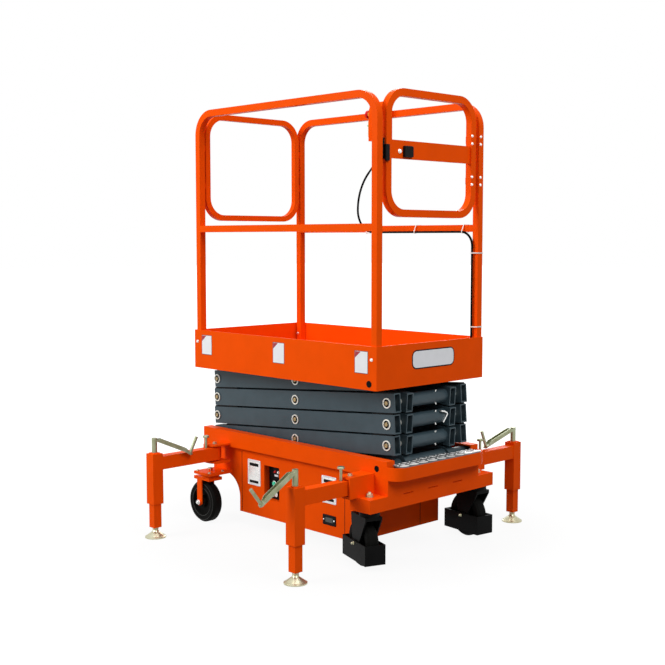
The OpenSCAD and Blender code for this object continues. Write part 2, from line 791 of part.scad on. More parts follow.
// Wheel turned from its outline: hub, thin web, rim and a tyre with sloped shoulders
module wheel(c) {
    half = wheel_width / 2;
    edge = wheel_d / 2;
    side = [[8.3, half], [24, half], [28, half - 15], [56, half - 15], [62, half - 3], [66, half],
        [edge - 8, half], [edge, half - 10]];
    outline = concat(side, [for (i = [len(side) - 1:-1:0]) [side[i].x, -side[i].y]]);
    color(black) at_caster(c) translate([-c[3], 0, axle_z]) rotate([90, 0, 0]) rotate_extrude()
        polygon(outline);
}

module front_fork(c) {
    color(black) at_caster(c) {
        fork(c[3], beam_z, 40, c[3] + 40, 56);
        guard(c[3]);
    }
}
module rear_fork(c) { color(orange) at_caster(c) fork(c[3], rear_plate_z, 17 - c[3], c[3] + 17, 34); }
module front_fork_r() { front_fork(caster_front_r); }
module front_fork_l() { front_fork(caster_front_l); }
module rear_fork_r() { rear_fork(caster_rear_r); }
module rear_fork_l() { rear_fork(caster_rear_l); }
module front_wheel_r() { wheel(caster_front_r); }
module front_wheel_l() { wheel(caster_front_l); }
module rear_wheel_r() { wheel(caster_rear_r); }
module rear_wheel_l() { wheel(caster_rear_l); }

// Outrigger places: hinge x, side of the machine, turn of the crank about the foot, its droop and hinge y
site_fr = [hinge_front_x, -1, 10, 36, hinge_front_y];
site_fl = [hinge_front_x, 1, 172, 20, hinge_front_y];
site_rr = [hinge_rear_x, -1, 194, 24, hinge_rear_y];
site_rl = [hinge_rear_x, 1, 10, 36, hinge_rear_y];

// Places children at an outrigger: origin on the hinge axis at the floor, +Y outwards
// Length of an outrigger from its hinge to its foot
function run(s) = base_half + reach - s[4];

module at_site(s) {
    at_middle() translate([s.x, s.y * s[4], 0]) mirror([0, s.y < 0 ? 1 : 0, 0]) children();
}

module outrigger(s) {
    low = arm_top_z - outrigger_height;
    wide = 46;
    color(orange) at_site(s) difference() {
        union() {
            block([-wide / 2, 0, low], [wide / 2, run(s) - sleeve_size / 2 + 2, arm_top_z]);
            translate([0, 0, low]) cylinder(d = wide, h = outrigger_height);
            block([-sleeve_size / 2, run(s) - sleeve_size / 2, sleeve_bottom_z],
                [sleeve_size / 2, run(s) + sleeve_size / 2, sleeve_top_z]);
        }
        translate([0, 0, low - 1]) cylinder(d = 20.6, h = outrigger_height + 2);
        block([-leg_size / 2 - leg_gap, run(s) - leg_size / 2 - leg_gap, sleeve_bottom_z - 1],
            [leg_size / 2 + leg_gap, run(s) + leg_size / 2 + leg_gap, sleeve_top_z - 8]);
    }
}

// Crank with its screw, and the lock pin beside the hinge
crank_up = 60;
grip_length = 78;
module crank(s) {
    color(zinc) at_site(s) {
        translate([0, run(s), sleeve_top_z]) cylinder(d = 24, h = crank_up + 8);
        translate([0, run(s), sleeve_top_z + crank_up]) rotate(s.z) rotate([-s[3], 0, 0]) {
            block([-12, 0, -4], [12, crank_length - 12, 4]);
            for (y = [0, crank_length - 12]) translate([0, y, -4]) cylinder(d = 24, h = 8);
            translate([0, crank_length - 12, 0]) cylinder(d = 14, h = grip_length);
        }
        translate([0, 50, arm_top_z]) rotate_extrude()
            polygon([[0, 0], [6, 0], [6, 47], [15, 49], [15, 55], [12, 58], [0, 58]]);
    }
}

// Sliding leg, and the turned foot pad under it
module leg(s) {
    color(orange) at_site(s)
        block([-leg_size / 2, run(s) - leg_size / 2, leg_bottom_z],
            [leg_size / 2, run(s) + leg_size / 2, leg_top_z]);
}

module foot(s) {
    rim = pad_d / 2;
    outline = [[0, 0], [rim, 0], [rim, 5], [rim - 7, 9], [15, 26], [12, 32],
               [12, leg_bottom_z], [0, leg_bottom_z]];
    color(zinc) at_site(s) translate([0, run(s), 0]) rotate_extrude() polygon(outline);
}

module outrigger_fr() { outrigger(site_fr); }
module outrigger_fl() { outrigger(site_fl); }
module outrigger_rr() { outrigger(site_rr); }
module outrigger_rl() { outrigger(site_rl); }
module crank_fr() { crank(site_fr); }
module crank_fl() { crank(site_fl); }
module crank_rr() { crank(site_rr); }
module crank_rl() { crank(site_rl); }
module leg_fr() { leg(site_fr); }
module leg_fl() { leg(site_fl); }
module leg_rr() { leg(site_rr); }
module leg_rl() { leg(site_rl); }
module foot_fr() { foot(site_fr); }
module foot_fl() { foot(site_fl); }
module foot_rr() { foot(site_rr); }
module foot_rl() { foot(site_rl); }

module inner_arms_1() { inner_arms(1); }
module inner_arms_2() { inner_arms(2); }
module inner_arms_3() { inner_arms(3); }
module inner_arms_4() { inner_arms(4); }
module outer_arms_1() { outer_arms(1); }
module outer_arms_2() { outer_arms(2); }
module outer_arms_3() { outer_arms(3); }
module outer_arms_4() { outer_arms(4); }
module pins_1() { pins(1); }
module pins_2() { pins(2); }
module pins_3() { pins(3); }
module pins_4() { pins(4); }

base_rails();
front_frame();
rear_frame();
outrigger_brackets();
step_plate();
cabinet();
cabinet_door_r();
cabinet_door_l();
panel_housing();
control_panel();
power_pack();
base_pins();
front_fork_r();
front_fork_l();
rear_fork_r();
rear_fork_l();
front_wheel_r();
front_wheel_l();
rear_wheel_r();
rear_wheel_l();
inner_arms_1();
inner_arms_2();
inner_arms_3();
inner_arms_4();
outer_arms_1();
outer_arms_2();
outer_arms_3();
outer_arms_4();
pins_1();
pins_2();
pins_3();
pins_4();
base_rollers();
deck_rollers();
lift_barrel();
lift_rod();
platform_tray();
guard_rail_r();
guard_rail_l();
rear_panel();
control_box();
control_cable();
gate_frame();
gate_hinges();
outrigger_fr();
outrigger_fl();
outrigger_rr();
outrigger_rl();
crank_fr();
crank_fl();
crank_rr();
crank_rl();
leg_fr();
leg_fl();
leg_rr();
leg_rl();
foot_fr();
foot_fl();
foot_rr();
foot_rl();
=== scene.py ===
"""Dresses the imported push-around scissor lift: materials, small fittings, floor, light and camera."""

import json
import math

import bmesh
import bpy
from mathutils import Matrix, Vector


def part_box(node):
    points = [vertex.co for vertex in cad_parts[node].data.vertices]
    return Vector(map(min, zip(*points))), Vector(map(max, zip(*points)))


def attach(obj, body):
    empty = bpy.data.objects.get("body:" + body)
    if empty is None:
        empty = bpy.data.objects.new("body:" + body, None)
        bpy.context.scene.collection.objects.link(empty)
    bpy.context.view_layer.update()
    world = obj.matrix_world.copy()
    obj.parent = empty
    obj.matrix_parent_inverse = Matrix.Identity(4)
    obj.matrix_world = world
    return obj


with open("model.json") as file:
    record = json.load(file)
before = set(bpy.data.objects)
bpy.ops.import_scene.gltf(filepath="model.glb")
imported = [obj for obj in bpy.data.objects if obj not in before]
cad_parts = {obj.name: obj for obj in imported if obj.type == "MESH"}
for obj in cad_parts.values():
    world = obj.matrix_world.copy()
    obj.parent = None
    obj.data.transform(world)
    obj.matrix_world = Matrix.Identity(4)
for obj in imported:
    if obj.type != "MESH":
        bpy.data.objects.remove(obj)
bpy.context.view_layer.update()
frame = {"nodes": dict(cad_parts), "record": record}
scene = bpy.context.scene

# Sizes are in millimetres from the middle of the platform, as in the part's source
MM = 1000
SHIFT = 32.5  # from the middle of the platform to the frame's origin
SIDES = (-1, 1)
X, Y, Z = Vector((1, 0, 0)), Vector((0, 1, 0)), Vector((0, 0, 1))

# Platform
TOE_Y = 330  # outer face of the toe board
TOE_FRONT_X = 585
TOE_PLATE_XS, TOE_PLATE_Z = (-494.5, 5, 501), 820
TOE_BOLT_XS, TOE_BOLT_Z = (-562, 558), 833
POST_Y = 311  # middle of the posts
POST_IN_Y = 296
POST_FRONT_X = 581  # front face of the front posts and of the gate's tube
POST_BACK_X = -571
RAIL_BOLT_ZS = (1550, 1720)  # rear loop bolts and gate hinges
HINGE_BOLT_DZS = (-16, 16)
HINGE_POST_Y, HINGE_GATE_Y = 306, 249  # hinge bolts on the post and on the gate
LATCH_X, LATCH_Z = 572, 1650  # front face of the gate's bar, and its middle
DECK_Z = 785
BOX_BACK_X = -11  # operator's face of the control box

# Scissor stack
PIVOT_X, ROLL_X = 544, -550.6  # pins at the front and the rear end of the folded arms
CROSS_X = (PIVOT_X + ROLL_X) / 2
PIN_Z, PAIR_RISE = 392, 86
ARM_FACE_Y, RING_FACE_Y = 226, 231
ARM_HALF = 39  # half the height of an arm
PAIRS = (1, 2, 3, 4)

# Base
DOOR_Y = -262  # outer face of the right cabinet door
PLATE_XS, PLATE_Z, PLATE_T = (-242, 246), 254, 1.6
PANEL_Y = -246  # face of the control panel in the recess
RAIL_FACE_Y = 283.9  # just under the outer face of the base rails
STEP_Z = 409
FRONT_CASTER, REAR_CASTER = (555, 337), (-460, 344)
FRONT_TRAIL, REAR_TRAIL = 52, 35
AXLE_Z, KINGPIN_Z, CASTER_PLATE_Z = 95, 289, 240
CASTER_BOLT_DX, CASTER_BOLT_DY = 44, 38
FRONT_HINGE, REAR_HINGE = (494, 385), (-423, 345)  # outrigger hinge pins
HINGE_TOP_Z = 372
ARM_TUBE_HALF, ARM_TUBE_Z0, ARM_TUBE_Z1 = 23, 300, 358  # section of an outrigger's arm
FOOT_Y, SLEEVE_HALF = 677, 26
CRANK_Z = 432


def at(x, y, z):
    return Vector(((x - SHIFT) / MM, y / MM, z / MM))


def pin_z(pair):
    """Height of the lower pins of a pair of folded arms."""
    return PIN_Z + PAIR_RISE * (pair - 1)


# Camera, fitted to the photograph's straight edges
SENSOR, IMAGE_PX, FOCAL_PX = 36.0, 665, 1112.3
CAMERA_DOWN, CAMERA_TURN = 4.83, 46.02
cam_data = bpy.data.cameras.new("camera")
cam = bpy.data.objects.new("camera", cam_data)
scene.collection.objects.link(cam)
scene.camera = cam
cam_data.sensor_fit = "HORIZONTAL"
cam_data.sensor_width = SENSOR
cam_data.lens = SENSOR * FOCAL_PX / IMAGE_PX
cam_data.clip_end = 100
cam.location = at(3569.8, -3449.6, 1307.5)
cam.rotation_euler = (math.radians(90 - CAMERA_DOWN), 0, math.radians(CAMERA_TURN))


# Materials
def material(name):
    mat = bpy.data.materials.new(name)
    mat.use_nodes = True
    tree = mat.node_tree
    return mat, tree, tree.nodes["Principled BSDF"]


def add_node(tree, kind, values=(), operation=None):
    """A new shader node with its (socket, constant) pairs."""
    new = tree.nodes.new("ShaderNode" + kind)
    if operation:
        new.operation = operation
    for socket, value in values:
        new.inputs[socket].default_value = value
    return new


def link(tree, a, out, b, into):
    tree.links.new(a.outputs[out], b.inputs[into])


def noise(tree, scale, detail=4.0):
    coord = add_node(tree, "TexCoord")
    tex = add_node(tree, "TexNoise", [("Scale", scale), ("Detail", detail), ("Roughness", 0.55)])
    link(tree, coord, "Object", tex, "Vector")
    return tex


GLOSS_SPREAD = 0.07  # how far the roughness varies to each side
GRAIN_DEPTH = 0.001


def surface(name, colour, rough, metal=0.0, vary=0.08, scale=9, grain=700, bump=0.05, coat=0.0, edge=1.2,
            spec=0.5, other=None):
    """A painted, plated or moulded surface: colour and gloss vary gently, with a fine grain and softened edges.
    other is a second colour that clouds in, as on passivated plating."""
    mat, tree, bsdf = material(name)
    bsdf.inputs["Metallic"].default_value = metal
    bsdf.inputs["Coat Weight"].default_value = coat
    bsdf.inputs["Coat Roughness"].default_value = 0.15
    bsdf.inputs["Specular IOR Level"].default_value = spec
    ramp = add_node(tree, "ValToRGB")
    dark, pale = ramp.color_ramp.elements
    dark.position, pale.position = 0.3, 0.7
    dark.color = [*(c * (1 - vary) for c in colour), 1]
    pale.color = [*(other or [min(1, c * (1 + vary)) for c in colour]), 1]
    link(tree, noise(tree, scale), "Fac", ramp, "Fac")
    link(tree, ramp, "Color", bsdf, "Base Color")
    gloss = add_node(tree, "MapRange", [("To Min", max(0.02, rough - GLOSS_SPREAD)),
                                        ("To Max", min(1, rough + GLOSS_SPREAD))])
    link(tree, noise(tree, scale * 4), "Fac", gloss, "Value")
    link(tree, gloss, "Result", bsdf, "Roughness")
    peel = add_node(tree, "Bump", [("Strength", bump), ("Distance", GRAIN_DEPTH)])
    link(tree, noise(tree, grain, 2.0), "Fac", peel, "Height")
    if edge:
        soft = add_node(tree, "Bevel", [("Radius", edge / MM)])
        soft.samples = 4
        link(tree, soft, "Normal", peel, "Normal")
    link(tree, peel, "Normal", bsdf, "Normal")
    return mat


ORANGE = surface("orange_paint", (0.90, 0.084, 0.0012), 0.36, vary=0.035, grain=520, edge=1.6, spec=0.03)
GREY = surface("arm_paint", (0.037, 0.062, 0.076), 0.44, vary=0.12, scale=14, grain=900, spec=0.3)
ZINC = surface("zinc_steel", (0.56, 0.50, 0.30), 0.30, metal=0.85, vary=0.1, scale=22, edge=0.8,
               other=(0.62, 0.62, 0.46))
RUBBER = surface("tyre", (0.004, 0.004, 0.0035), 0.66, vary=0.3, scale=24, grain=900, bump=0.2, spec=0.05)
# Lighter grey than the tyre: painted highlight on the tyre's raised lines at the rim and at the tread's edge.
TYRE_RIDGE_HIGHLIGHT = surface("tyre_ridge_highlight", (0.030, 0.031, 0.029), 0.5, vary=0.2, scale=24, grain=900, bump=0.1, spec=0.2)
RING = surface("pin_ring", (0.76, 0.75, 0.68), 0.32, metal=0.45, vary=0.08, scale=30, edge=0.5)
BRASS = surface("pin_face", (0.33, 0.24, 0.12), 0.35, metal=0.7, vary=0.15, scale=60, edge=0.3)
OLIVE = surface("crank_zinc", (0.27, 0.28, 0.15), 0.38, metal=0.8, vary=0.12, scale=26, edge=0.8,
                other=(0.36, 0.39, 0.27))
TREAD = surface("tread", (0.15, 0.155, 0.16), 0.45, metal=0.35, vary=0.12, scale=30, edge=0.6)
# The raised lozenges are the same steel as the tread, but near white: a painted highlight on their tops.
TREAD_PAINTED_HIGHLIGHT = surface("tread_raised_painted_highlight", (0.95, 0.95, 0.94), 0.35, metal=0.1, vary=0.03, scale=30, edge=0.4)
BLACK = surface("black_paint", (0.004, 0.004, 0.004), 0.46, vary=0.25, scale=20, spec=0.05)
PLASTIC = surface("black_plastic", (0.005, 0.005, 0.0054), 0.52, vary=0.2, scale=30, grain=1400, bump=0.12,
                  spec=0.08)
SHEATH = surface("cable_sheath", (0.003, 0.003, 0.003), 0.7, vary=0.2, scale=60, grain=1400, bump=0.1,
                 spec=0.04)
CHROME = surface("chrome_rod", (0.8, 0.8, 0.82), 0.12, metal=1.0, vary=0.03, scale=30, bump=0.01)
BRIGHT = surface("bright_zinc", (0.78, 0.78, 0.76), 0.28, metal=0.9, vary=0.08, scale=40, edge=0.4)
WHITE = surface("label_white", (0.82, 0.83, 0.86), 0.4, vary=0.02, scale=30, bump=0.01, edge=0)
RIM = surface("label_rim", (0.10, 0.05, 0.06), 0.45, vary=0.1, scale=30, bump=0.02, edge=0)
CRIMSON = surface("label_red", (0.34, 0.008, 0.022), 0.42, vary=0.05, scale=30, bump=0.01, edge=0)
RED = surface("red_plastic", (0.62, 0.008, 0.006), 0.36, vary=0.05, scale=30, grain=1200, edge=0.5, spec=0.2)
YELLOW = surface("yellow_plastic", (0.75, 0.42, 0.02), 0.4, vary=0.05, scale=30, edge=0.5)
GREEN = surface("green_plastic", (0.03, 0.62, 0.36), 0.3, vary=0.06, scale=30, coat=0.3, edge=0.5)
NYLON = surface("nylon_tie", (0.80, 0.79, 0.75), 0.5, vary=0.04, scale=60, edge=0.3)
GLASS = surface("display_face", (0.045, 0.055, 0.05), 0.12, vary=0.1, scale=30, bump=0.0, edge=0)
BY_SLOT = {"orange_paint": ORANGE, "arm_paint": GREY, "zinc_steel": ZINC, "tyre": RUBBER, "tread": TREAD,
           "black_paint": BLACK, "black_plastic": PLASTIC, "chrome_rod": CHROME}
# Nodes whose names start so have a look of their own within their slot
OWN_LOOK = {"crank": OLIVE, "pins": RING, "control_cable": SHEATH}

for part in frame["record"]["subparts"]:
    obj = frame["nodes"][part["node"]]
    obj.data.materials.clear()
    own = [look for start, look in OWN_LOOK.items() if part["node"].startswith(start)]
    obj.data.materials.append(own[0] if own else BY_SLOT[part["material_slot"]])


# Mesh helpers: each adds faces to a bmesh. Points are in metres, and sizes in mm
def axes_for(n):
    n = n.normalized()
    u = (Z if abs(n.z) < 0.9 else X).cross(n).normalized()
    return u, n.cross(u), n


def angles(count, turn=0.0):
    return [turn + 2 * math.pi * i / count for i in range(count)]


def loft(bm, rings, cap=True, mat=0):
    """Joins rings of points, each with the same count, and closes the ends."""
    rows = [[bm.verts.new(p) for p in ring] for ring in rings]
    faces = []
    for a, b in zip(rows, rows[1:]):
        for i in range(len(a)):
            j = (i + 1) % len(a)
            faces.append(bm.faces.new((a[i], a[j], b[j], b[i])))
    if cap:
        faces += [bm.faces.new(rows[0][::-1]), bm.faces.new(rows[-1])]
    for f in faces:
        f.material_index = mat
    return faces


def turned(bm, place, n, outline, count=20, mat=0, turn=0.0):
    """A shape turned about n at place, from its outline of (radius, height). Six sides make a hexagon."""
    u, v, n = axes_for(n)
    loft(bm, [[place + n * (h / MM) + (u * math.cos(a) + v * math.sin(a)) * (r / MM)
               for a in angles(count, turn)] for r, h in outline], mat=mat)


WASHER_EDGE, WASHER_TOP = 0.13, 0.17  # heights, as shares of the bolt's size


def bolt(bm, place, n, d=10):
    """A hexagon head on its washer, with a chamfered crown."""
    base = d * WASHER_TOP
    turned(bm, place, n, [(d, 0), (d, d * WASHER_EDGE), (d * 0.96, base)])
    turned(bm, place, n, [(d * 0.86, base), (d * 0.86, base + d * 0.5), (d * 0.74, base + d * 0.6)], 6)


CORNERS = ((1, 1, 0), (-1, 1, 90), (-1, -1, 180), (1, -1, 270))  # sides of a corner and its first angle
CORNER_STEPS = 4
PLATE_CROWN = (0.4, 0.25)  # how far the middle of a rimmed plate draws in and stands up


def plate(bm, place, n, w, h, t, r, rim=0.0, mats=(0, 1)):
    """A thin plate with round corners on a face. Its middle has the first material, and its rim the second."""
    u, v, n = axes_for(n)

    def ring(inset, height):
        pts = []
        rr = max(0.5, r - inset)
        for sx, sy, a0 in CORNERS:
            for k in range(CORNER_STEPS + 1):
                a = math.radians(a0 + 90 / CORNER_STEPS * k)
                pts.append(place + u * ((sx * (w / 2 - inset - rr) + rr * math.cos(a)) / MM)
                           + v * ((sy * (h / 2 - inset - rr) + rr * math.sin(a)) / MM) + n * (height / MM))
        return pts

    if rim:
        inset, rise = PLATE_CROWN
        outer = ring(0, 0)
        faces = loft(bm, [outer, ring(0, t), ring(rim, t), ring(rim + inset, t + rise)], mat=mats[0])
        for f in faces[:2 * len(outer)]:
            f.material_index = mats[1]
    else:
        loft(bm, [ring(0, 0), ring(0, t * 0.7), ring(t * 0.4, t)], mat=mats[0])


def bar(bm, low, high, chamfer=1.0, mat=0):
    """A block between two corners in mm, with its edges chamfered."""
    (x0, y0, z0), (x1, y1, z1) = low, high
    c = chamfer
    rings = []
    for z, k in ((z0, c), (z0 + c, 0), (z1 - c, 0), (z1, c)):
        a, b, e, f = x0 + k, x1 - k, y0 + k, y1 - k
        rings.append([at(a + c, e, z), at(b - c, e, z), at(b, e + c, z), at(b, f - c, z),
                      at(b - c, f, z), at(a + c, f, z), at(a, f - c, z), at(a, e + c, z)])
    loft(bm, rings, mat=mat)


def band(bm, path, n, wide, thick):
    """A strap that follows a closed path of points round a rail, wide along n."""
    middle = sum(path, Vector()) / len(path)
    out = [p + (p - middle).normalized() * (thick / MM) for p in path]
    half = n * (wide / 2 / MM)
    loops = [[p + s for p in ring] for ring, s in ((path, -half), (out, -half), (out, half), (path, half))]
    loft(bm, loops + loops[:1], cap=False)


RIPPLE = 0.22  # how much a weld bead swells


def bead(bm, path, r=2.6, step=4.0):
    """A weld bead along a closed path of points: a round ridge that swells at each ripple."""
    pts = []
    for a, b in zip(path, path[1:] + path[:1]):
        n = max(2, int((b - a).length * MM / step))
        pts += [a.lerp(b, i / n) for i in range(n)]
    rings = []
    for i, p in enumerate(pts):
        u, v, _ = axes_for(pts[(i + 1) % len(pts)] - pts[i - 1])
        rr = r * (1.0 + RIPPLE * (i % 2)) / MM
        rings.append([p + (u * math.cos(a) + v * math.sin(a)) * rr for a in angles(6)])
    loft(bm, rings + rings[:1], cap=False)


def strip(bm, path, wide, thick):
    """A bent strip along an open path of points in mm in a plane across X, wide along X."""
    half = X * (wide / 2 / MM)
    rings = []
    for i, p in enumerate(path):
        a, b = path[max(i - 1, 0)], path[min(i + 1, len(path) - 1)]
        side = (at(*b) - at(*a)).normalized().cross(X) * (thick / 2 / MM)
        rings.append([at(*p) + side + half, at(*p) + side - half, at(*p) - side - half, at(*p) - side + half])
    loft(bm, rings)


def piece(name, body, mats, build, smooth=False):
    """A mesh that rides a body. build adds its faces."""
    bm = bmesh.new()
    build(bm)
    bmesh.ops.remove_doubles(bm, verts=bm.verts, dist=1e-6)
    bmesh.ops.recalc_face_normals(bm, faces=bm.faces)
    mesh = bpy.data.meshes.new(name)
    bm.to_mesh(mesh)
    bm.free()
    for m in mats:
        mesh.materials.append(m)
    if smooth:
        mesh.polygons.foreach_set("use_smooth", [True] * len(mesh.polygons))
    obj = bpy.data.objects.new(name, mesh)
    scene.collection.objects.link(obj)
    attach(obj, body)


# Platform: blank plates, bolts through the toe board and posts, cable ties, plugs in the access holes
RED_CORNER = ((34, 42), (3, 42), (34, 16))  # from the middle of a toe board plate


def skirt_plates(bm):
    for side in SIDES:
        for x in TOE_PLATE_XS:
            plate(bm, at(x, side * TOE_Y, TOE_PLATE_Z), Y * side, 74, 90, 0.8, 3, rim=2.2)
            loft(bm, [[at(x + side * dx, side * y, TOE_PLATE_Z + dz) for dx, dz in RED_CORNER]
                      for y in (TOE_Y + 0.9, TOE_Y + 1.3)], mat=2)


piece("skirt_plates", "platform", [WHITE, RIM, CRIMSON], skirt_plates)
piece("front_plate", "platform", [WHITE, PLASTIC],
      lambda bm: plate(bm, at(TOE_FRONT_X, 8, 819), X, 264, 78, 0.8, 26, rim=5))


def platform_bolts(bm):
    for side in SIDES:
        for x in TOE_BOLT_XS:
            bolt(bm, at(x, side * TOE_Y, TOE_BOLT_Z), Y * side, 7)
            bolt(bm, at(x, side * POST_IN_Y, TOE_BOLT_Z), -Y * side, 7)
        for z in RAIL_BOLT_ZS:
            bolt(bm, at(POST_BACK_X, side * POST_Y, z), -X, 7)
    for z in RAIL_BOLT_ZS:
        for dz in HINGE_BOLT_DZS:
            bolt(bm, at(POST_FRONT_X, HINGE_POST_Y, z + dz), X, 6)


piece("platform_bolts", "platform", [BRIGHT], platform_bolts)

TIE_WIDE, TIE_THICK = 4.5, 1.2
RAIL_TIE_XS, POST_TIE_ZS = (-70, 229, 503), (1246, 930)
RAIL_TIE = ((281.5, 1333), (285, 1330.5), (326.6, 1335), (326.6, 1366.8), (295, 1366.8), (281.5, 1341))
POST_TIE = ((550.4, 283), (560, 281.5), (581.6, 295), (581.6, 326.6), (550.4, 326.6))


def cable_ties(bm):
    for x in RAIL_TIE_XS:
        band(bm, [at(x, y, z) for y, z in RAIL_TIE], X, TIE_WIDE, TIE_THICK)
    for z in POST_TIE_ZS:
        band(bm, [at(x, y, z) for x, y in POST_TIE], Z, TIE_WIDE, TIE_THICK)


piece("cable_ties", "platform", [NYLON], cable_ties)


def skirt_plugs(bm):
    for side in SIDES:
        turned(bm, at(PIVOT_X, side * (TOE_Y - 4), 736), Y * side,
               [(9.9, 0), (9.9, 4), (13.5, 4), (13.5, 5.2), (12, 5.8), (5, 5)], 28)


piece("skirt_plugs", "platform", [RUBBER], skirt_plugs)


# Control box: stop button, toggle and lamps on the operator's side, a gland under the case
def box_controls(bm):
    stop = at(BOX_BACK_X, 250, 1872)
    turned(bm, stop, -X, [(17, 0), (17, 3), (12, 3.5), (12, 8)], mat=1)
    turned(bm, stop, -X, [(11, 8), (15, 10), (19, 14), (19, 20), (15, 25), (6, 27)], 24, 0)
    block_x = BOX_BACK_X - 10
    bar(bm, (block_x, 240, 1770), (BOX_BACK_X, 284, 1842), 2.0, 1)
    plate(bm, at(block_x, 262, 1806), -X, 36, 64, 1.2, 4, mats=(2,))
    for y, z, m in ((252, 1822, 3), (272, 1822, 4), (262, 1796, 4)):
        turned(bm, at(block_x - 1.2, y, z), -X, [(7, 0), (7, 3), (5.5, 5), (5.5, 8), (4, 9.5)], 16, m)
    turned(bm, at(20, 287, 1750), -Z, [(10, 0), (10, 6), (7.5, 8), (7.5, 20), (6, 24)], 16, 2)


piece("box_controls", "platform", [RED, YELLOW, PLASTIC, GREEN, BRIGHT], box_controls)


# Gate: hinge bolts, and the knob and blocks of the latch
def gate_bolts(bm):
    for z in RAIL_BOLT_ZS:
        for dz in HINGE_BOLT_DZS:
            bolt(bm, at(POST_FRONT_X, HINGE_GATE_Y, z + dz), X, 6)
    bolt(bm, at(LATCH_X, -190, LATCH_Z), X, 9)
    turned(bm, at(LATCH_X - 12, -190, LATCH_Z), -X,
           [(9, 0), (9, 4), (6, 6), (6, 16), (9, 18), (9, 26), (6, 28)], 16)


piece("gate_bolts", "gate", [BRIGHT], gate_bolts)
piece("gate_latch_block", "gate", [PLASTIC],
      lambda bm: bar(bm, (LATCH_X, -172, 1628), (586, -120, 1672), 2.5))
piece("gate_latch_case", "gate", [PLASTIC],
      lambda bm: bar(bm, (580, -286, 1608), (591, -264, 1672), 2.0))


# Cabinet: framed blank plates, buttons and key in the recess, display, black strips of painted shade in the
# door seams
def cabinet_plates(bm):
    front = DOOR_Y - PLATE_T
    for x in PLATE_XS:
        plate(bm, at(x, DOOR_Y, PLATE_Z), -Y, 88, 116, PLATE_T, 5, rim=8, mats=(1, 0))
        plate(bm, at(x, front, 290), -Y, 62, 14, 0.6, 2, mats=(2,))
        plate(bm, at(x, front, 212), -Y, 62, 12, 0.6, 2, mats=(2,))
        for dx in (-40, 40):
            for dz in (-54, 54):
                turned(bm, at(x + dx, front, PLATE_Z + dz), -Y, [(2.6, 0), (2.6, 0.8), (1.6, 1.4)], 10, 1)


piece("cabinet_plates", "base", [WHITE, BRIGHT, PLASTIC], cabinet_plates)


def recess_controls(bm):
    turned(bm, at(-122, PANEL_Y, 220), -Y, [(12.5, 0), (12.5, 1.5), (11, 2)], 28, 1)
    turned(bm, at(-122, PANEL_Y - 2, 220), -Y, [(10, 0), (10, 3), (8.5, 4.5), (4, 5)], 24, 0)
    turned(bm, at(-106, PANEL_Y - 4, 173), -Y, [(11, 0), (11, 2), (9, 2.6), (9, 4), (7.5, 4.6)], 24, 1)
    bar(bm, (-107.2, PANEL_Y - 20, 165), (-104.8, PANEL_Y - 8, 181), 0.6, 1)
    plate(bm, at(-104, PANEL_Y, 269), -Y, 40, 34, 0.8, 2, mats=(2,))
    for x, m in ((-115, 3), (-93, 1)):
        turned(bm, at(x, PANEL_Y - 0.8, 274), -Y, [(6, 0), (6, 1.5), (4.6, 2), (4.6, 6), (3.4, 7)], 16, m)
    bar(bm, (-116, PANEL_Y - 6, 254), (-92, PANEL_Y - 0.6, 262), 1.0, 4)


piece("recess_controls", "base", [GREEN, BRIGHT, PLASTIC, RED, WHITE], recess_controls)


def cabinet_display(bm):
    front, z = DOOR_Y - 4, 126
    bar(bm, (210, front, 104), (288, DOOR_Y, 147), 1.5, 0)
    plate(bm, at(250, front, z), -Y, 44, 20, 0.6, 2, mats=(1,))
    for x in (218, 280):
        turned(bm, at(x, front, z), -Y, [(3.2, 0), (3.2, 1.2), (2, 2)], 10, 2)


piece("cabinet_display", "base", [PLASTIC, GLASS, BRIGHT], cabinet_display)

# Black rubber strips set in the door seams stand in for the shade in them: painted shade.
SEAM_SHADE_HALF, SEAM_SHADE_DEEP, SEAM_SHADE_PROUD, SEAM_SHADE_SHORT = 1.5, 1.8, 0.4, 2


def seam_painted_shade(bm):
    """Black strips in the seams of the cabinet's doors and front: painted shade in the seams."""
    (x0, y0, z0), (x1, _, z1) = [[c * MM for c in corner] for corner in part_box("cabinet_door_r")]
    x0, x1, half = x0 + SHIFT, x1 + SHIFT, -y0
    z0, z1 = z0 + SEAM_SHADE_SHORT, z1 - SEAM_SHADE_SHORT
    for side in SIDES:
        for x in (x0 + 16, x1 - 60):
            low, high = sorted((side * (half - SEAM_SHADE_DEEP), side * (half + SEAM_SHADE_PROUD)))
            bar(bm, (x - SEAM_SHADE_HALF, low, z0), (x + SEAM_SHADE_HALF, high, z1), 0.3)
        y = side * (half - 121)
        bar(bm, (x1 - SEAM_SHADE_DEEP, y - SEAM_SHADE_HALF, z0), (x1 + SEAM_SHADE_PROUD, y + SEAM_SHADE_HALF, z1), 0.3)


piece("seam_painted_shade", "base", [RUBBER], seam_painted_shade)


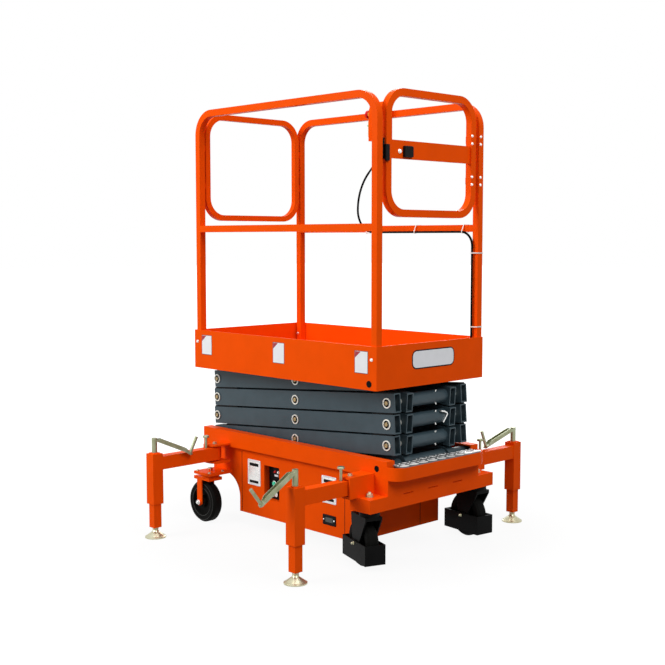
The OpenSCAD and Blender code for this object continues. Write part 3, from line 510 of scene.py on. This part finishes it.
# Base: kingpin nuts, caster and hinge bolts, plugs in the pin holes, tread of the step
def base_bolts(bm):
    for side in SIDES:
        x, y = FRONT_CASTER
        turned(bm, at(x, side * y, KINGPIN_Z), Z, [(17, 0), (17, 2.5), (16.5, 3)])
        turned(bm, at(x, side * y, KINGPIN_Z + 3), Z, [(14, 0), (14, 9), (12, 11)], 6)
        turned(bm, at(x, side * y, KINGPIN_Z + 13), Z, [(8, 0), (8, 6), (6.8, 7)])
        x, y = REAR_CASTER
        for dx in (-CASTER_BOLT_DX, CASTER_BOLT_DX):
            for dy in (-CASTER_BOLT_DY, CASTER_BOLT_DY):
                bolt(bm, at(x + dx, side * (y + dy), CASTER_PLATE_Z), Z, 8)
        turned(bm, at(x, side * y, CASTER_PLATE_Z), Z, [(13, 0), (13, 14), (11, 16)], 6)
        for x, y in (FRONT_HINGE, REAR_HINGE):
            bolt(bm, at(x, side * y, HINGE_TOP_Z), Z, 11)


piece("base_bolts", "base", [ZINC], base_bolts)


def hole_covers(bm):
    for side in SIDES:
        turned(bm, at(PIVOT_X, side * RAIL_FACE_Y, PIN_Z), Y * side,
               [(12.8, 0), (12.8, 0.6), (11, 0.9), (9, 0.3)], 28)


piece("hole_covers", "base", [RUBBER], hole_covers)


def lozenge(bm, place, degrees, long=11.0, wide=3.6, tall=1.3, crown=0.5):
    """A raised bar of tread plate. crown is the share of its size that its flat top has."""
    turn = math.radians(degrees)
    c, s = math.cos(turn), math.sin(turn)
    rings = []
    for k, h in ((1.0, 0.0), ((1 + crown) * 0.55, tall * 0.8), (crown, tall)):
        ring = []
        for a in angles(8):
            lx, ly = long * k * math.cos(a), wide * k * math.sin(a)
            ring.append(place + Vector(((lx * c - ly * s) / MM, (lx * s + ly * c) / MM, h / MM)))
        rings.append(ring)
    loft(bm, rings)


def checkered(i, j):
    """The turn of a small lozenge, which changes from each one to the next."""
    return 45 if (i + j) % 2 else -45


DECK_X0, DECK_X1, DECK_HALF, DECK_PITCH = -535, 545, 290, 30


def deck_tread(bm):
    nx, ny = int((DECK_X1 - DECK_X0) / DECK_PITCH), int(2 * DECK_HALF / DECK_PITCH)
    for i in range(nx):
        for j in range(ny):
            x = DECK_X0 + (DECK_X1 - DECK_X0) * (i + 0.5) / nx
            y = -DECK_HALF + 2 * DECK_HALF * (j + 0.5) / ny
            lozenge(bm, at(x, y, DECK_Z), checkered(i, j))


EDGE_X, EDGE_Y0, EDGE_PITCH, EDGE_COUNT = 641, -226, 56.5, 9
STEP_ROWS = ((618, 8), (598, 8), (583, 3))  # place of a row and its lozenges on each side of the middle
STEP_PITCH = 30


def step_tread(bm):
    """Raised lozenges on the step: large ones along its edge, rows of small ones behind them."""
    for j in range(EDGE_COUNT):
        lozenge(bm, at(EDGE_X, EDGE_Y0 + EDGE_PITCH * j, STEP_Z), 80, 23, 11.5, 1.6, 0.88)
    for row, (x, reach) in enumerate(STEP_ROWS):
        for j in range(2 * reach + 1):
            lozenge(bm, at(x, STEP_PITCH * (j - reach), STEP_Z), checkered(row, j), 10)


APRON_X, APRON_Z, APRON_IN_Y, APRON_OUT_Y = 601.2, 405, 108, 250


def step_apron(bm):
    """Back edge of the tread plate: it reaches further between the arms than beside them."""
    for x, y0, y1 in ((576, -APRON_IN_Y, APRON_IN_Y), (588, -APRON_OUT_Y, -APRON_IN_Y),
                      (588, APRON_IN_Y, APRON_OUT_Y)):
        bar(bm, (x, y0, APRON_Z), (APRON_X, y1, STEP_Z), 0.8)


piece("step_apron", "base", [TREAD], step_apron)
# Painted highlight: the step's lozenges take the near-white copy of the tread's steel.
piece("step_tread", "base", [TREAD_PAINTED_HIGHLIGHT], step_tread)
piece("deck_tread", "platform", [ORANGE], deck_tread)


# Outriggers: weld beads and caps of the sleeves, threads on the screws, turned-up edges of the cranks
def outrigger_weld(side, x):
    def build(bm):
        y = side * (FOOT_Y - SLEEVE_HALF)
        bead(bm, [at(x + dx, y, z) for dx, z in ((-ARM_TUBE_HALF, ARM_TUBE_Z0), (ARM_TUBE_HALF, ARM_TUBE_Z0),
                                                 (ARM_TUBE_HALF, ARM_TUBE_Z1), (-ARM_TUBE_HALF, ARM_TUBE_Z1))])
        turned(bm, at(x, side * FOOT_Y, 0), Z, [(26.5, 372), (26.5, 374.5), (25, 376), (13, 376)], 4,
               turn=math.pi / 4)
    return build


THREAD_Z, THREAD_PITCH, THREAD_TURNS = 33.5, 2.8, 4


def screw_thread(side, x):
    def build(bm):
        outline = [(12.1, THREAD_Z - 0.5)]
        for i in range(THREAD_TURNS):
            z = THREAD_Z + THREAD_PITCH * i
            outline += [(12.2, z), (13.2, z + 0.9), (12.2, z + 1.8)]
        turned(bm, at(x, side * FOOT_Y, 0), Z, outline + [(12.1, 44.8)], 28)
    return build


FLANGE_OUT, FLANGE_IN, FLANGE_Z = 12, 9, 3.4
# Places along a crank, with the height of its edges there
FLANGE_TOPS = ((10, 4.2), (14, 9), (26, 15), (152, 15), (166, 9), (172, 4.2))


def crank_flanges(side, x, turn, droop):
    """Turned-up edges that make the crank's flat bar a channel, and the rivet of its handle."""
    spin = Matrix.Rotation(math.radians(turn), 3, "Z") @ Matrix.Rotation(math.radians(-droop), 3, "X")

    def on_bar(p):
        q = spin @ Vector(p)
        return at(x + q.x, side * (FOOT_Y + q.y), CRANK_Z + q.z)

    def build(bm):
        for edge in SIDES:
            loft(bm, [[on_bar((edge * w, y, z)) for w, z in ((FLANGE_OUT, FLANGE_Z), (FLANGE_IN, FLANGE_Z),
                                                             (FLANGE_IN, top), (FLANGE_OUT, top))]
                      for y, top in FLANGE_TOPS])
        axis = (on_bar((0, 0, 1)) - on_bar((0, 0, 0))) * MM
        turned(bm, on_bar((0, 183, -4)), -axis, [(9, 0), (9, 2), (6, 4)], 20)
    return build


for tag, x, side, turn, droop in (("fr", FRONT_HINGE[0], -1, 10, 36), ("fl", FRONT_HINGE[0], 1, 172, 20),
                                  ("rr", REAR_HINGE[0], -1, 194, 24), ("rl", REAR_HINGE[0], 1, 10, 36)):
    arm = "outrigger_arm_" + tag
    piece("crank_flanges_" + tag, arm, [OLIVE], crank_flanges(side, x, turn, droop))
    piece("outrigger_weld_" + tag, arm, [ORANGE], outrigger_weld(side, x))
    piece("screw_thread_" + tag, "outrigger_leg_" + tag, [ZINC], screw_thread(side, x))

# Scissor stack: grease nipples on the cross tubes
TUBE_R, NIPPLE_Y = 29, 50


def nipples(row):
    def build(bm):
        for n in (Vector((0.55, 0, 0.83)), Vector((0.55, 0, -0.83))):
            place = at(PIVOT_X + n.x * TUBE_R, NIPPLE_Y, pin_z(row) + n.z * TUBE_R)
            turned(bm, place, n, [(4.6, -0.6), (4.6, 2.4)], 6)
            turned(bm, place, n, [(2.6, 2.4), (2.6, 4.5), (3.3, 6), (2.2, 8.4)], 12)
    return build


for row in PAIRS[1:]:
    piece(f"nipples_{row}", f"inner_{row}", [BRIGHT], nipples(row))


# Pin ends: black discs painted as the shade of the groove inside each ring and round the pin, and a turned face
# on the pin
def pin_faces_and_groove_shade(pair):
    low = pin_z(pair)
    places = [(CROSS_X, low + PAIR_RISE / 2)]
    if pair < PAIRS[-1]:
        places.append((PIVOT_X, low + PAIR_RISE))
    if pair > PAIRS[0]:
        places.append((ROLL_X, low))

    def build(bm):
        for x, z in places:
            for side in SIDES:
                n = Y * side
                # Painted shade: black rubber discs on the arm's face and on the ring's face darken the groove
                # round the pin.
                turned(bm, at(x, side * ARM_FACE_Y, z), n, [(15.9, 0), (15.9, 0.7), (15.2, 0.9)], 32)
                turned(bm, at(x, side * RING_FACE_Y, z), n, [(11.4, -0.6), (11.4, 0.4), (10.8, 0.6)], 28)
                turned(bm, at(x, side * (RING_FACE_Y + 0.4), z), n,
                       [(8.8, 0), (8.8, 0.8), (7.9, 1.3), (3.6, 1.3), (2.4, 0.4)], 28, 1)
    return build


for pair in PAIRS:
    piece(f"pin_faces_and_groove_shade_{pair}", f"outer_{pair}", [RUBBER, BRASS], pin_faces_and_groove_shade(pair))

# Rest pads on the outer arms, under the arms that fold down on them
PAD_Y0, PAD_Y1 = 190, 224
PAD_TALL, PAD_END_TALL, PAD_RAMP, PAD_SUNK = 6.2, 2, 4, 0.2
PAD_REAR_START, PAD_LOWEST_START, PAD_REAR_END, PAD_FRONT = -18, 60, 150, (1020, 1132)


def rest_pads(pair):
    low = at(ROLL_X, 0, pin_z(pair))
    along = (at(PIVOT_X, 0, pin_z(pair + 1)) - low).normalized()
    up = along.cross(Y)
    rear = (PAD_LOWEST_START if pair == PAIRS[0] else PAD_REAR_START, PAD_REAR_END)

    def section(side, s, tall):
        spot = low + along * (s / MM)
        foot, top = ARM_HALF - PAD_SUNK, ARM_HALF + tall
        return [spot + Y * (side * y / MM) + up * (h / MM)
                for y, h in ((PAD_Y0, foot), (PAD_Y1, foot), (PAD_Y1, top), (PAD_Y0, top))]

    def build(bm):
        for side in SIDES:
            for start, end in (rear, PAD_FRONT):
                loft(bm, [section(side, s, tall) for s, tall in (
                    (start, PAD_END_TALL), (start + PAD_RAMP, PAD_TALL),
                    (end - PAD_RAMP, PAD_TALL), (end, PAD_END_TALL))])
    return build


for pair in PAIRS[:-1]:
    piece(f"rest_pads_{pair}", f"outer_{pair}", [PLASTIC], rest_pads(pair))

# Bent clip for a hose, on the cross tube of the third pair
HOSE_CLIP = [(574, 68, 591), (575, 86, 588), (576, 102, 580), (576, 104, 574), (575, 92, 558), (574, 80, 542)]
piece("hose_clip", "inner_3", [BRIGHT], lambda bm: strip(bm, HOSE_CLIP, 12, 5))


# Casters: axle nuts outside the forks and guards, in each swivel's own turn, and raised lines on the rear
# tyres, lighter grey as painted highlight
def axle_nuts(x, y, turn, trail, out, d):
    def build(bm):
        spin = Matrix.Rotation(math.radians(turn), 3, "Z")
        for s in SIDES:
            n = spin @ Y * s
            place = at(x, y, AXLE_Z) - spin @ X * (trail / MM) + n * (out / MM)
            turned(bm, place, n, [(d * 1.3, 0), (d * 1.3, 1.6), (d * 1.25, 2)])
            turned(bm, place, n, [(d, 2), (d, 7), (d * 0.88, 8.2)], 6)
            turned(bm, place, n, [(d * 0.6, 8), (d * 0.6, 10), (d * 0.5, 11)], 14)
    return build


FRONT_NUT, REAR_NUT = (FRONT_TRAIL, 45, 5.5), (REAR_TRAIL, 43, 9)  # trail, distance from the middle, size
for tag, (x, y), side, turn, nut, look in (
        ("fr", FRONT_CASTER, -1, -20, FRONT_NUT, ZINC), ("fl", FRONT_CASTER, 1, -8, FRONT_NUT, ZINC),
        ("rr", REAR_CASTER, -1, 0, REAR_NUT, BRIGHT), ("rl", REAR_CASTER, 1, 0, REAR_NUT, BRIGHT)):
    piece("axle_nuts_" + tag, "swivel_" + tag, [look], axle_nuts(x, side * y, turn, *nut))

TYRE_LINE_RS = (65.5, 84.5)
TYRE_LINE_SECTION = ((-1.6, 24.6), (-0.8, 25.9), (0.8, 25.9), (1.6, 24.6))


def tyre_ridge_highlights(x, y):
    """Raised lines on both faces of a rear tyre, one at the rim and one near the tread. They are lighter grey
    than the tyre: real ridges, with a painted highlight.
    """
    def build(bm):
        for side in SIDES:
            for r in TYRE_LINE_RS:
                rings = [[at(x + (r + dr) * math.cos(a), y + side * out, AXLE_Z + (r + dr) * math.sin(a))
                          for a in angles(64)] for dr, out in TYRE_LINE_SECTION]
                loft(bm, rings + rings[:1], cap=False)
    return build


for tag, side in (("rr", -1), ("rl", 1)):
    x, y = REAR_CASTER
    piece("tyre_ridge_highlights_" + tag, "wheel_" + tag, [TYRE_RIDGE_HIGHLIGHT], tyre_ridge_highlights(x - REAR_TRAIL, side * y),
          smooth=True)


# Floor, world and lamps
def seen_ray(tree):
    """1 for a ray from the camera, or for one that a glossy or clear surface sends on."""
    path = add_node(tree, "LightPath")
    either = add_node(tree, "Math", operation="MAXIMUM")
    link(tree, path, "Is Camera Ray", either, 0)
    link(tree, path, "Is Glossy Ray", either, 1)
    both = add_node(tree, "Math", operation="MAXIMUM")
    link(tree, either, 0, both, 0)
    link(tree, path, "Is Transmission Ray", both, 1)
    return both


FLOOR_HALF = 40
FLOOR_GREY, FLOOR_GLOW = 0.2, 1.28
FADE_NEAR, FADE_FAR, FADE_LEAST = 0.7, 2.6, 0.72  # distances in metres, and the share of white at the machine
WORLD_LIGHT, BACKDROP = 0.25, 1.0
PURE_WHITE = (1, 1, 1, 1)

floor_mesh = bpy.data.meshes.new("floor")
floor_corners = [(sx * FLOOR_HALF, sy * FLOOR_HALF, 0) for sx, sy in ((-1, -1), (1, -1), (1, 1), (-1, 1))]
floor_mesh.from_pydata(floor_corners, [], [(0, 1, 2, 3)])
floor = bpy.data.objects.new("floor", floor_mesh)
scene.collection.objects.link(floor)
mat, tree, bsdf = material("floor")
bsdf.inputs["Base Color"].default_value = (FLOOR_GREY, FLOOR_GREY, FLOOR_GREY, 1)
bsdf.inputs["Roughness"].default_value = 0.9
bsdf.inputs["Specular IOR Level"].default_value = 0.0
glow = add_node(tree, "Emission", [("Color", PURE_WHITE), ("Strength", FLOOR_GLOW)])
# The floor whitens with its distance from the machine, so that it meets the backdrop with no edge
coord = add_node(tree, "TexCoord")
far = add_node(tree, "VectorMath", operation="LENGTH")
link(tree, coord, "Object", far, 0)
fade = add_node(tree, "MapRange", [("From Min", FADE_NEAR), ("From Max", FADE_FAR), ("To Min", FADE_LEAST)])
fade.interpolation_type = "SMOOTHSTEP"
link(tree, far, "Value", fade, "Value")
share = add_node(tree, "Math", operation="MULTIPLY")
link(tree, seen_ray(tree), 0, share, 0)
link(tree, fade, "Result", share, 1)
blend = add_node(tree, "MixShader")
link(tree, share, 0, blend, 0)
link(tree, bsdf, "BSDF", blend, 1)
link(tree, glow, "Emission", blend, 2)
link(tree, blend, "Shader", tree.nodes["Material Output"], "Surface")
floor_mesh.materials.append(mat)

world = bpy.data.worlds.new("world")
scene.world = world
world.use_nodes = True
tree = world.node_tree
tree.nodes.clear()
out = add_node(tree, "OutputWorld")
lit = add_node(tree, "Background", [("Color", PURE_WHITE), ("Strength", WORLD_LIGHT)])
white = add_node(tree, "Background", [("Color", PURE_WHITE), ("Strength", BACKDROP)])
mix = add_node(tree, "MixShader")
link(tree, seen_ray(tree), 0, mix, 0)
link(tree, lit, 0, mix, 1)
link(tree, white, 0, mix, 2)
link(tree, mix, 0, out, 0)

LAMP_AIM = Vector((0, 0, 1.0))


def lamp(name, place, size, power):
    data = bpy.data.lights.new(name, "AREA")
    data.energy = power
    data.size = size
    obj = bpy.data.objects.new(name, data)
    scene.collection.objects.link(obj)
    obj.location = place
    obj.rotation_euler = (LAMP_AIM - Vector(place)).to_track_quat("-Z", "Y").to_euler()


lamp("key", (-1.9, -5.4, 4.0), 3.4, 320)
lamp("side", (5.0, -1.0, 5.2), 2.9, 205)
lamp("top", (0.4, 0.0, 7.4), 4.8, 150)
lamp("back", (-3.4, 4.8, 3.6), 3.4, 190)

scene.view_settings.view_transform = "Standard"
